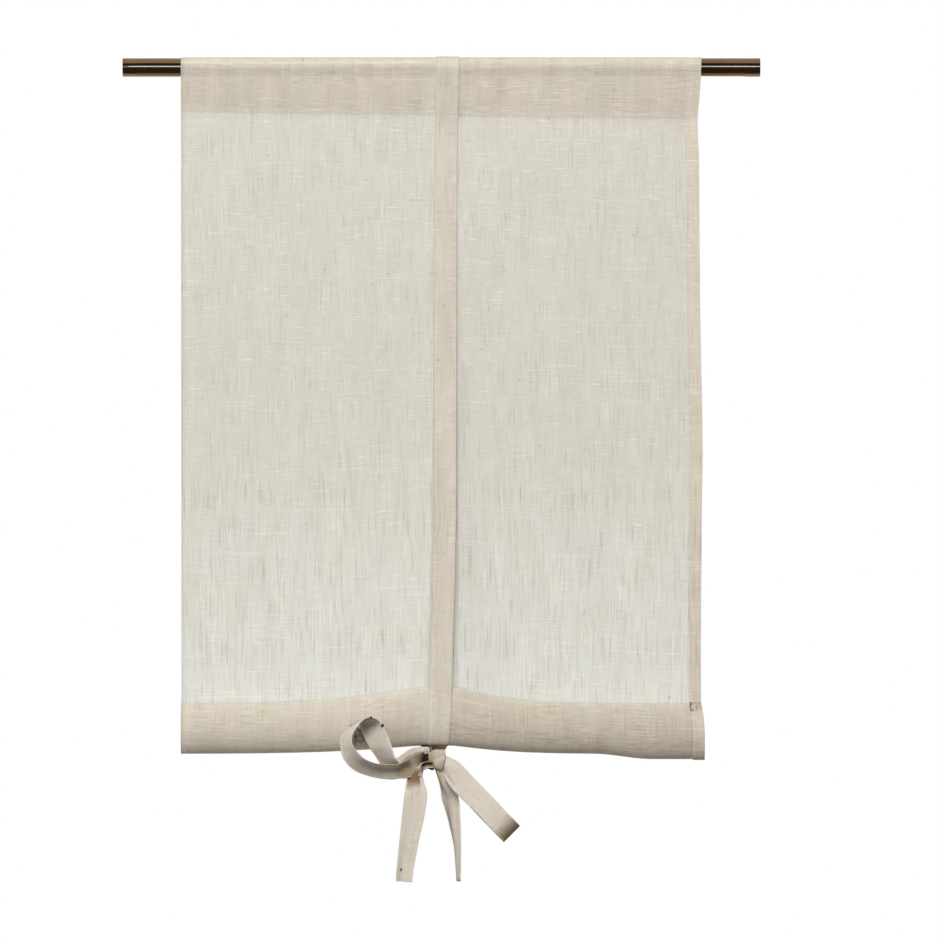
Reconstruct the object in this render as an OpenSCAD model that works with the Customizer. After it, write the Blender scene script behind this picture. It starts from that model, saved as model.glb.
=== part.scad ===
// Tie-up linen blind: a cloth on a rod, rolled up towards the front from below
// and held by one tape that is tied in a bow under the roll.
// Lengths in millimetres. The origin is on the rod's axis at mid width, the front faces -Y.

/* [Rod] */
// Outside diameter of the rod
rod_d = 18; // [14:0.5:24]
// Wall of the rod's tube
rod_wall = 1; // [0.8:0.1:2]
// Bare rod on each side of the cloth
rod_stub = 56; // [20:1:120]

/* [Cloth] */
// Width of the cloth
panel_w = 500; // [420:10:900]
// From the rod's axis down to the roll's top edge
drop = 610; // [400:10:900]
// From the rod's axis down to the pocket's seam
pocket_drop = 46; // [36:1:70]
// Thickness of one layer of cloth
cloth_t = 0.5; // [0.4:0.1:0.8]
// Width of the hem along the right edge; the left edge is a plain selvedge
hem_w = 12; // [8:1:20]
// Thickness of that hem, three layers of cloth
hem_t = 1.2; // [0.8:0.1:1.4]

/* [Roll] */
// Height of the roll away from the tape
roll_h = 49; // [46:1:60]
// Depth of the roll from front to back
roll_depth = 30; // [28:1:44]
// Turns of cloth in the roll
turns = 4; // [2:1:4]
// How much higher the roll's top edge sits at the tape
tie_lift = 16; // [0:1:24]
// How much the tape squeezes the roll's depth
tie_squeeze = 6; // [0:1:8]
// How much the loose right end of the roll sags
end_sag = 5; // [0:1:10]

/* [Tie tape] */
// Width of the tape
tape_w = 22; // [18:1:26]
// Thickness of the folded tape
tape_t = 0.9; // [0.6:0.1:1.2]
// Middle of the tape at the rod, to the right of the cloth's middle
tape_x = 6; // [-20:1:20]
// Middle of the bow's knot, to the right of the cloth's middle
knot_x = -4; // [-20:1:20]

/* [Hidden] */

rod_r = rod_d / 2;
half_w = panel_w / 2;
ease_gap = 0.3;
pocket_r = rod_r + ease_gap;
seam_w = 4;
seam_low = -pocket_drop - seam_w;

// Share of one turn that the roll loses in depth, and the millimetres it loses in height
turn_share = 0.17;
turn_step = 2.6;
lift_left = 75;
lift_right = 50;
lift_power = 1.3;
sag_start = 105;
sag_run = 55;

function ease(s) = let (c = min(1, max(0, s))) c * c * (3 - 2 * c);

// How strongly the tape shapes the roll at x, from 1 under the tape to 0 far from it
function pull(x) =
    let (d = max(0, abs(x - knot_x) - tape_w / 2 - 2), run = x < knot_x ? lift_left : lift_right)
    exp(-pow(d / run, lift_power));
function sag(x) = end_sag * ease((x - half_w + sag_start) / sag_run);
function roll_top(x) = -drop + tie_lift * pull(x);
function roll_low(x) = -drop - roll_h + tie_lift * pull(x) / 2 - sag(x);
function coil_z(x) = (roll_top(x) + roll_low(x) + turn_step / 2) / 2;
function coil_h(x) = (roll_top(x) - roll_low(x) + turn_step - cloth_t) / 2;
function coil_d(x) = (roll_depth - tie_squeeze * pull(x)) / 2;

// The coil in the plane across the rod, [y, z] at angle a: down behind, under, up in front
function coil(x, a) = [
    coil_d(x) * (1 - turn_share * a / 360) * cos(a),
    coil_z(x) - (coil_h(x) - turn_step * a / 360) * sin(a)
];
function coil_side(x, a, off) =
    let (d = coil(x, a + 1) - coil(x, a - 1))
    coil(x, a) + off * [-d[1], d[0]] / norm(d);
coil_angles = concat([for (a = [0:22.5:427.5]) a], [for (a = [450:30:360 * turns]) a]);

// The rod pocket: from the seam in front over the rod and down to the seam behind
pocket_lean = asin(pocket_r / pocket_drop);
pocket_steps = 14;
function pocket_turn(r) = [
    for (i = [0:pocket_steps])
        let (a = (90 + pocket_lean) * (2 * i / pocket_steps - 1))
        [r * sin(a), r * cos(a)]
];
// Its flat sides bow out a little on their way from the seam up to the rod
pocket_bow = 0.4;
side_steps = [0.45, 0.85];
function pocket_side(from, to) = [
    for (s = side_steps)
        from + s * (to - from) + [sign(to[0]) * pocket_bow * sin(180 * s), 0]
];
function turned_list(p) = [for (i = [len(p) - 1:-1:0]) p[i]];
// Up from the front end, over the rod and down to the back end
function pocket_line(r, front, back) =
    let (over = pocket_turn(r))
    concat(
        pocket_side(front, over[0]),
        over,
        turned_list(pocket_side(back, over[pocket_steps]))
    );
seam_front = [-cloth_t / 2, -pocket_drop];
seam_back = [1.5 * cloth_t, -pocket_drop];
seam_inside = [cloth_t / 2, seam_w / 2 - pocket_drop];
function pocket_out(t) =
    concat([seam_front], pocket_line(pocket_r + t, seam_front, seam_back), [seam_back]);
function pocket_in() = concat([seam_inside], pocket_line(pocket_r, seam_inside, seam_inside));

// The hanging sheet and the coil, on the side given by off
function panel_y(x, z) = coil_d(x) * (z - seam_low) / (coil_z(x) - seam_low);
panel_steps = [0.02, 0.35, 0.7];
function sheet(x, side, t) = concat(
    [[side > 0 ? 1.5 * cloth_t : -cloth_t / 2, seam_low]],
    [for (s = panel_steps)
        let (z = seam_low + s * (coil_z(x) - seam_low))
        [panel_y(x, z) + side * t / 2, z]],
    [for (a = coil_angles) coil_side(x, a, side * t / 2)]
);

// Stations along the rod, closer together near the tape, with a step at the hem
station_half = 9;
station_power = 1.6;
hem_step = 0.2;
flat_w = half_w - hem_w - hem_step;
function spread(s) = sign(s) * pow(abs(s), station_power);
stations = concat(
    [-half_w],
    [for (i = [-station_half:station_half]) flat_w * spread(i / station_half)],
    [half_w - hem_w + hem_step, half_w]
);

function section(x) =
    let (t = x > half_w - hem_w ? hem_t : cloth_t)
    concat(pocket_out(t), sheet(x, 1, t), turned_list(sheet(x, -1, t)));

function ring_faces(start, count, rings, turn) = [
    for (k = [0:rings - 2], i = [0:count - 1])
        let (a = start + k * count + i, b = start + k * count + (i + 1) % count)
        each turn
            ? [[a, b, a + count], [b, b + count, a + count]]
            : [[a, a + count, b], [b, a + count, b + count]]
];

// One closed sheet: outer skin, the pocket's inner skin and the two cut ends
module linen_panel() {
    rings = len(stations);
    skin = [for (x = stations) section(x)];
    n_out = len(skin[0]);
    n_in = len(pocket_in());
    n_top = n_in + 1;
    n_sheet = (n_out - n_top) / 2;
    skin_points = [for (k = [0:rings - 1], p = skin[k]) [stations[k], p[0], p[1]]];
    hole_points = [for (x = stations, p = pocket_in()) [x, p[0], p[1]]];
    hole = n_out * rings;
    function end_faces(o, h) = concat(
        [for (i = [0:n_top - 2]) [o + i, o + i + 1, h + (i + 1) % n_in, h + i % n_in]],
        [[o, h, o + n_top - 1]],
        [[o, o + n_top - 1, o + n_top, o + n_out - 1]],
        [for (i = [0:n_sheet - 2])
            [o + n_out - 1 - i, o + n_top + i, o + n_top + i + 1, o + n_out - 2 - i]]
    );
    function turned(f) = [for (p = f) turned_list(p)];
    last = rings - 1;
    color([0.85, 0.82, 0.75])
        polyhedron(
            concat(skin_points, hole_points),
            concat(
                ring_faces(0, n_out, rings, true),
                ring_faces(hole, n_in, rings, false),
                turned(end_faces(0, hole)),
                end_faces(n_out * last, hole + n_in * last)
            ),
            convexity = 12
        );
}

// A tape's path: each row is [x, y, z, across x, across y, across z, width, thickness]
function blend(a, b, c, d, s) =
    (2 * b + (c - a) * s + (2 * a - 5 * b + 4 * c - d) * s * s + (3 * b - a - 3 * c + d) * s * s * s) / 2;
function smooth(p, n) = [
    for (i = [0:len(p) - 2], k = [0:n - 1])
        blend(p[max(i - 1, 0)], p[i], p[i + 1], p[min(i + 2, len(p) - 1)], k / n),
    p[len(p) - 1]
];
function place(p) = [p[0], p[1], p[2]];
function across(p) = [p[3], p[4], p[5]];
function unit(v) = v / norm(v);

module ribbon(path) {
    last = len(path) - 1;
    corners = [
        for (i = [0:last])
            let (
                p = path[i],
                go = unit(place(path[min(i + 1, last)]) - place(path[max(i - 1, 0)])),
                wide = unit(across(p) - (across(p) * go) * go) * p[6] / 2,
                thick = unit(cross(go, wide)) * p[7] / 2
            )
            each [
                place(p) - wide - thick,
                place(p) + wide - thick,
                place(p) + wide + thick,
                place(p) - wide + thick
            ]
    ];
    polyhedron(
        corners,
        concat(
            ring_faces(0, 4, last + 1, false),
            [[0, 1, 2, 3]],
            [[4 * last + 3, 4 * last + 2, 4 * last + 1, 4 * last]]
        ),
        convexity = 6
    );
}

// The tape's middle keeps this far from the cloth's middle surface
tape_off = cloth_t / 2 + ease_gap + tape_t / 2;
tape_arc_r = pocket_r + cloth_t + ease_gap + tape_t / 2;
// Angles from the roll's underside up to where the tape leaves it
wind_angles = [88, 68, 52, 41, 33, 25, 18];
knot_z = roll_low(0) - 13;
function flat_row(x, y, z) = [x, y, z, 1, 0, 0, tape_w, tape_t];
function wind_row(x, a) = let (p = coil_side(x, a, tape_off + ease_gap)) flat_row(x, p[0], p[1]);

// Over the rod, down in front and behind, round the roll and together under it
module tape_sling() {
    lean = (tape_x - knot_x) / 10;
    roll_lean = (tape_x - knot_x) / 3;
    front_y = -cloth_t / 2 - ease_gap - tape_t / 2;
    back_y = 1.5 * cloth_t + ease_gap + tape_t / 2;
    front_low = [for (w = wind_angles) wind_row(knot_x + roll_lean * w / wind_angles[0], 90 + w)];
    back_low = [for (w = wind_angles) wind_row(knot_x + roll_lean * w / wind_angles[0], 90 - w)];
    over = pocket_line(tape_arc_r, [front_y, -pocket_drop], [back_y, -pocket_drop]);
    neck = [
        [knot_x, -2.5, knot_z + 8, 1, 0, 0, tape_w - 8, 2],
        [knot_x, 2.5, knot_z + 8, 1, 0, 0, tape_w - 8, 2]
    ];
    ribbon(concat(
        [neck[0]],
        turned_list(front_low),
        [flat_row(tape_x - lean, front_y, seam_low)],
        [flat_row(tape_x - lean / 2, front_y, -pocket_drop)],
        [for (p = over) flat_row(tape_x, p[0], p[1])],
        [flat_row(tape_x - lean / 2, back_y, -pocket_drop)],
        [flat_row(tape_x - lean, back_y, seam_low)],
        back_low,
        [neck[1]]
    ));
}

// Bow paths, measured from the knot's middle
left_loop = [
    [-6, -4, -4, 0.1, -0.3, 0.95, 12, 2],
    [-15, -8, -8, 0.1, -0.4, 0.9, 16, 1.5],
    [-30, -16, -11, 0.1, -0.6, 0.8, 20, 1],
    [-48, -27, -11, 0.1, -0.7, 0.7, tape_w, 1],
    [-66, -36, -7, 0.3, -0.75, 0.6, tape_w, 1],
    [-78, -41, 2, 0.45, -0.75, 0.45, tape_w, 1],
    [-85, -43, 16, 0.6, -0.8, 0.1, tape_w, 1],
    [-82, -41, 31, 0.6, -0.8, 0, tape_w, 1],
    [-72, -36, 38, 0.55, -0.8, -0.1, tape_w, 1],
    [-64, -30, 35, 0.55, -0.8, 0.1, tape_w, 1],
    [-58, -25, 23, 0.6, -0.7, 0.25, tape_w, 1],
    [-52, -21, 9, 0.65, -0.65, 0.3, tape_w, 1],
    [-45, -15, -3, 0.5, -0.2, 0.8, 21, 1],
    [-30, -9, 0, -0.2, 0.1, 0.95, 18, 1.2],
    [-15, -3, 5, -0.2, 0, 1, 13, 1.6],
    [-5, 0, 4, -0.2, 0, 1, 10, 2]
];
right_loop = [
    [4, -5, -2, 0.2, -0.2, 0.95, 12, 2],
    [10, -8, -6, 0.3, -0.1, 0.9, 17, 1.5],
    [17, -12, -14, 0.55, 0, 0.8, 20, 1.2],
    [26, -16, -24, 0.7, 0, 0.7, tape_w, 1],
    [45, -22, -43, 0.7, 0, 0.7, tape_w, 1],
    [58, -23, -57, 0.7, 0, 0.7, tape_w, 1],
    [68, -20, -67, 0.7, 0, 0.7, tape_w, 1],
    [71, -14, -71, 0.7, 0, 0.7, tape_w, 1],
    [67, -9, -67, 0.7, 0, 0.7, tape_w, 1],
    [57, -7, -57, 0.7, 0, 0.7, tape_w, 1],
    [41, -6, -40, 0.7, 0, 0.7, tape_w, 1],
    [24, -4, -22, 0.6, 0.1, 0.75, 19, 1],
    [9, -2, -7, 0.3, 0.1, 0.9, 14, 1.5],
    [3, 0, -2, 0.2, 0, 0.95, 10, 2]
];
left_tail = [
    [-6, -2, -3, 0.9, -0.3, 0.2, 10, 2],
    [-15, -4, -11, 0.8, -0.3, 0.4, 14, 1.5],
    [-19, -9, -25, 1, -0.1, 0.2, 19, 1],
    [-21, -12, -44, 1, -0.1, 0.1, tape_w, 1],
    [-26, -13, -73, 0.85, -0.5, 0.1, tape_w, 1],
    [-33, -12, -117, 0.7, -0.7, 0.1, tape_w, 1]
];
middle_tail = [
    [1, -1, -4, 0.8, 0.5, 0, 10, 2],
    [4, -2, -10, 0.8, 0.5, 0, 13, 1.5],
    [8, -1, -21, 0.7, 0.7, 0, 17, 1],
    [12, 1, -36, 0.6, 0.8, 0, tape_w, 1],
    [15, 2, -56, 0.5, 0.87, 0, tape_w, 1],
    [19, 2, -80, 0.3, 0.95, 0, tape_w, 1],
    [21, 2, -117, 0.1, 1, 0, tape_w, 1]
];
knot_core = [
    [0, 0, 10, 1, 0, 0, 15, 6],
    [0, 0, 6, 1, 0, 0, 16, 9],
    [0, 0, 0, 1, 0, 0, 18, 13],
    [0, -1, -7, 1, 0, 0, 17, 12],
    [1, -1, -12, 1, 0, 0, 13, 7]
];
knot_wrap = [
    [4, -2, 11, 1, 0, 0.1, 10, 2],
    [4, -6, 8, 1, 0, 0.1, 12, 2],
    [4, -8, 0, 1, 0, 0.1, 12, 2],
    [3, -7, -8, 1, 0, 0.1, 12, 2],
    [2, -3, -13, 1, 0, 0.1, 10, 2]
];

module bow() {
    ribbon(smooth(left_loop, 3));
    ribbon(smooth(right_loop, 3));
    ribbon(smooth(left_tail, 3));
    ribbon(smooth(middle_tail, 3));
    ribbon(smooth(knot_core, 2));
    ribbon(smooth(knot_wrap, 3));
}

module tie_tape() {
    color([0.83, 0.78, 0.72]) {
        tape_sling();
        translate([knot_x, 0, knot_z]) bow();
    }
}

module curtain_rod() {
    rod_len = panel_w + 2 * rod_stub;
    color([0.32, 0.23, 0.15])
        rotate([0, 90, 0])
            difference() {
                cylinder(h = rod_len, r = rod_r, center = true, $fn = 64);
                cylinder(h = rod_len + 2, r = rod_r - rod_wall, center = true, $fn = 64);
            }
}

curtain_rod();
linen_panel();
tie_tape();
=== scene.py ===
import math
import bpy
import bmesh
import numpy as np
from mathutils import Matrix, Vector


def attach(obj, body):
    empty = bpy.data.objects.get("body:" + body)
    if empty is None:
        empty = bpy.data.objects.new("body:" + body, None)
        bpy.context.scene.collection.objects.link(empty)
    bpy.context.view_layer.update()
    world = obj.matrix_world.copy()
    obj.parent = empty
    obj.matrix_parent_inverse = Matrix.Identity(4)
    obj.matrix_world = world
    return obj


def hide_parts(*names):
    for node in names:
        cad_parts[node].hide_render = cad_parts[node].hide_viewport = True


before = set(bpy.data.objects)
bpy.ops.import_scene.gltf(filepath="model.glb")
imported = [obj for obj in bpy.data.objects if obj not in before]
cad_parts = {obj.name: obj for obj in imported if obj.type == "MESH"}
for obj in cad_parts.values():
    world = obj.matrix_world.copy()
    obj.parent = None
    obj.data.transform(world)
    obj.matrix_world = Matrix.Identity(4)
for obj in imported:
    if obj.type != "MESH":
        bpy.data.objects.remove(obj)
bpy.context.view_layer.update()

scene = bpy.context.scene
scene.view_settings.view_transform = "Standard"
print("frame loaded:", sorted(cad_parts))

mm = 0.001

# Camera: square on to the cloth, from far off, so that it hardly converges
photoCamera = {"place": (0.0274, -10.0, -0.3864), "seenWidth": 0.9024, "sensor": 36.0, "sees": 100}


def makeCamera(facts):
    data = bpy.data.cameras.new("photoCamera")
    data.sensor_width = facts["sensor"]
    data.lens = facts["sensor"] * -facts["place"][1] / facts["seenWidth"]
    data.clip_end = facts["sees"]
    camera = bpy.data.objects.new("photoCamera", data)
    camera.location = facts["place"]
    camera.rotation_euler = (math.radians(90), 0, 0)
    scene.collection.objects.link(camera)
    scene.camera = camera


makeCamera(photoCamera)
print("camera set")


# Small helpers for node trees and meshes
def feed(tree, socket, value):
    if isinstance(value, bpy.types.NodeSocket):
        tree.links.new(value, socket)
    else:
        socket.default_value = value


def addNode(tree, kind, fed=None, **settings):
    node = tree.nodes.new(kind)
    for name, value in settings.items():
        setattr(node, name, value)
    for key, value in (fed or {}).items():
        feed(tree, node.inputs[key], value)
    return node


def mathNode(tree, what, a, b=0.0, clamp=False):
    return addNode(tree, "ShaderNodeMath", {0: a, 1: b}, operation=what, use_clamp=clamp).outputs[0]


def ramp(tree, value, low, high, toLow=0.0, toHigh=1.0):
    fed = {"Value": value, "From Min": low, "From Max": high, "To Min": toLow, "To Max": toHigh}
    return addNode(tree, "ShaderNodeMapRange", fed, interpolation_type="SMOOTHSTEP").outputs["Result"]


def fallOff(tree, value, low, high, toHigh=0.0):
    return ramp(tree, value, low, high, 1.0, toHigh)


def inRange(tree, value, rise, fall):
    return mathNode(tree, "MULTIPLY", ramp(tree, value, *rise), fallOff(tree, value, *fall))


def awayFrom(tree, value, place):
    return mathNode(tree, "ABSOLUTE", mathNode(tree, "SUBTRACT", value, place))


def grain(tree, coords, stretch, detail=2.0, shift=(0, 0, 0)):
    scale = stretch if len(stretch) == 3 else (*stretch, 1)  # cycles a metre across, along and deep
    place = addNode(tree, "ShaderNodeMapping", {"Vector": coords, "Scale": scale, "Location": shift}).outputs[0]
    noise = addNode(tree, "ShaderNodeTexNoise", {"Vector": place, "Scale": 1.0, "Detail": detail})
    return noise.outputs["Fac"]


def mixColour(tree, how, factor, a, b):
    return addNode(tree, "ShaderNodeMix", {0: factor, 6: a, 7: b}, data_type="RGBA", blend_type=how).outputs[2]


def mottle(tree, colour, noise, dark, light):  # an even colour with a cloudy tone over it
    shade = ramp(tree, noise, 0.3, 0.7, dark, light)
    tone = addNode(tree, "ShaderNodeCombineColor", {0: shade, 1: shade, 2: shade}).outputs[0]
    return mixColour(tree, "MULTIPLY", 1.0, (*colour, 1), tone)


def mixShader(tree, factor, a, b):
    return addNode(tree, "ShaderNodeMixShader", {0: factor, 1: a, 2: b}).outputs[0]


def newMaterial(name):
    made = bpy.data.materials.new(name)
    made.use_nodes = True
    made.node_tree.nodes.clear()
    return made, made.node_tree


def showSurface(tree, shader):
    addNode(tree, "ShaderNodeOutputMaterial", {"Surface": shader})


def meshObject(name, points, faces, material, uv=None, smooth=True):
    mesh = bpy.data.meshes.new(name)
    mesh.from_pydata([tuple(p) for p in points], [], [tuple(int(i) for i in f) for f in faces])
    if uv is not None:
        layer = mesh.uv_layers.new(name="clothMap")
        corner = np.zeros(len(mesh.loops), int)
        mesh.loops.foreach_get("vertex_index", corner)
        layer.data.foreach_set("uv", np.asarray(uv, float)[corner].astype(np.float32).ravel())
    mesh.polygons.foreach_set("use_smooth", [smooth] * len(mesh.polygons))
    mesh.materials.append(material)
    mesh.validate()
    mesh.update()
    made = bpy.data.objects.new(name, mesh)
    scene.collection.objects.link(made)
    return made


def faceOutwards(made):
    work = bmesh.new()
    work.from_mesh(made.data)
    bmesh.ops.recalc_face_normals(work, faces=work.faces)
    work.to_mesh(made.data)
    work.free()


# Linen: one way of weaving, with a dictionary for each cloth; shares are of the cloth's own tone
yarnGrain = {  # cycles a metre across and along, detail, shift
    "warp": ((600, 36), 2.0),  # streaks of single yarns, running down
    "warpPatch": ((48, 21), 1.0, (2, 6, 3)),  # and where they show
    "bands": ((80, 11), 2.0, (3, 1, 0)),
    "weft": ((62, 620), 2.0, (0, 5, 2)),  # streaks running across
    "weftPatch": ((24, 58), 1.0, (8, 3, 5)),
    "lines": ((560, 27), 1.5, (6, 1, 2)),  # single darker yarns
    "longWeft": ((14, 470), 1.0, (5, 7, 3)),
    "slubs": ((56, 640), 1.0, (1, 9, 4)),
    "ticks": ((380, 210), 1.0, (4, 4, 8)),
    "hatch": ((700, 15), 1.0, (9, 4, 3)),
    "tint": ((24, 20), 2.0, (7, 2, 1)),
    "ragged": ((170, 60), 2.0, (9, 1, 6)),  # uneven ends of the doubled parts
    "patchBreakup": ((420, 190), 2.0, (6, 8, 1)),
    "lowShadeDashes": ((70, 520), 2.0, (3, 6, 7)),
    "lowShadePatches": ((26, 80), 1.0, (5, 2, 9)),
    "lineDashes": ((75, 5), 2.0, (2, 2, 2)),
}
weaveFacts = {  # how much of each noise shows, then the yarns' pitch, relief and gloss
    "lines": (0.56, 0.72), "longWeft": (0.60, 0.72), "slubs": (0.64, 0.75), "ticks": (0.73, 0.78),
    "hatch": (0.52, 0.66), "tintShow": (0.4, 0.6),
    "warpPatch": (0.38, 0.66, 0.25, 1.3), "weftPatch": (0.38, 0.66, 0.3, 1.3), "patchBreakup": (0.36, 0.58, 0.3, 1.15),
    "lowShadeDashes": (0.40, 0.60), "lowShadePatches": (0.36, 0.60, 0.25, 1.0), "lineDashes": (0.34, 0.52, 0.25, 1.0),
    "tint": (0.986, 1.001, 0.974),
    "browner": (0.88, 1.0, 1.12),  # darker yarns lean to brown
    "pitch": (0.8 * mm, 0.85 * mm), "crossing": 0.25, "bump": 0.3, "bumpDepth": 0.4 * mm,
    "roughness": (0.78, 0.92), "specular": 0.15, "sheen": 0.08, "sheenRoughness": 0.6,
}
linenCloth = {
    "yarn": (0.652, 0.618, 0.550),
    "litYarnLow": (0.728, 0.714, 0.664), "paler": (0.3, 0.64),  # painted light: the cloth is paler lower down, where more light comes through it, and more open
    "doubled": (0.712, 0.645, 0.556),
    "rightRollShade": -0.10, "tieSide": (-0.01, 0.03),  # painted shade: the roll is darker to the right of the tie
    "seeThrough": 0.24,  # of one skin, and a layer has two
    "lowGaps": 0.06, "opens": ((0.25, 0.64), (0.56, 0.635)),
    "hemGaps": 0.12,
    "glow": 0.05,  # share of light that comes through the yarns
    "warp": (0.36, 0.26), "bands": (0.15, 0.24), "weft": (0.24, 0.50),  # single layer, doubled
    "lines": (-0.18, -0.10), "longWeft": (0.07, 0.11), "hatch": (-0.10, 0.0),
    "slub": 0.20, "tick": -0.45,
    "lowDown": (0.28, 0.52),  # more warp shows low down, more weft high up
    "linesHigh": 0.6, "slubsLow": 0.5,
    "hem": (0.2382, 0.2392),  # the hem's inner edge, across the cloth
    "hemTone": (-0.12, -0.08),  # on the flat cloth, on the roll
    "hemLine": (0.0004, 0.0014), "hemLineTone": -0.07, "hemLineInPocket": 0.2,
    "marksAndShadows": (  # one dark mark on the heading, then painted shadows: a dark notch and the shaded hem at the roll's top, the tape's shadow beside its right edge, the loop's shadow on the roll; place and half width across, run along and its soft ends, tone
        (-0.1333, 0.0012, 0.0, 0.0095, 0.001, -0.25), (0.2396, 0.0014, 0.7300, 0.7425, 0.001, -0.5),
        (0.2450, 0.0085, 0.7300, 0.7460, 0.004, -0.32), (0.0112, 0.0014, 0.530, 0.594, 0.006, -0.34),
        (-0.0785, 0.012, 0.690, 0.710, 0.006, -0.54)),
    "paintedHighlight": 0.0106,  # painted highlight: a light line on the cloth, below the top of the rod
    "paintedHighlightHalf": (0.0006, 0.0017), "paintedHighlightColour": (0.80, 0.76, 0.62),
    "paintedHighlightRun": (-0.02, 0.03, 0.8, 0.12),  # it is plain to the left and faint to the right
    "pocket": (0.0592, 0.0622), "pocketRagged": 0.006,
    "rolled": (0.645, 0.66),
    "rollTop": (0.7315, 0.7425), "rollRagged": 0.011,  # where the outer turn comes over the top
    "pastTop": 0.3,
    "rollLowShade": ((0.686, 0.694), (0.702, 0.711)), "lowShadeColour": (0.84, 0.79, 0.72),  # painted shade: a darker, browner run low on the roll
    "lowShadeSide": (-0.02, 0.05, 0.5, 1.0),
    "rolledIn": (0.752, 0.765),  # past this length the turns lie inside the roll
    "overRod": ((0.006, 0.012), (0.02, 0.027)), "overRodGaps": 0.14,  # drawn over the rod, the weave opens
}
tapeCloth = {
    "yarn": (0.61, 0.55, 0.475),
    "glow": 0.08,
    "warp": (0.36, 0.36), "bands": (0.30, 0.30), "weft": (0.36, 0.36),
    "lines": (-0.05, -0.05), "longWeft": (0.05, 0.05),
    "slub": 0.16, "tick": -0.35,
    "groove": (-0.0101, 0.0008), "grooveShadeTone": -0.14,  # painted shade where the edge seam sinks in, and how wide
    "shade": ((0.0, 0.7, (0.47, 0.37, 0.24)),  # painted shade: colour in folds
              (0.6, 1.0, (0.08, 0.055, 0.035))),  # and in the deepest
    "rim": (0.0096, 0.0105), "edgeHighlightTone": 0.12,  # painted highlight: the edges are a little paler, as where they catch the light
}


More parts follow.
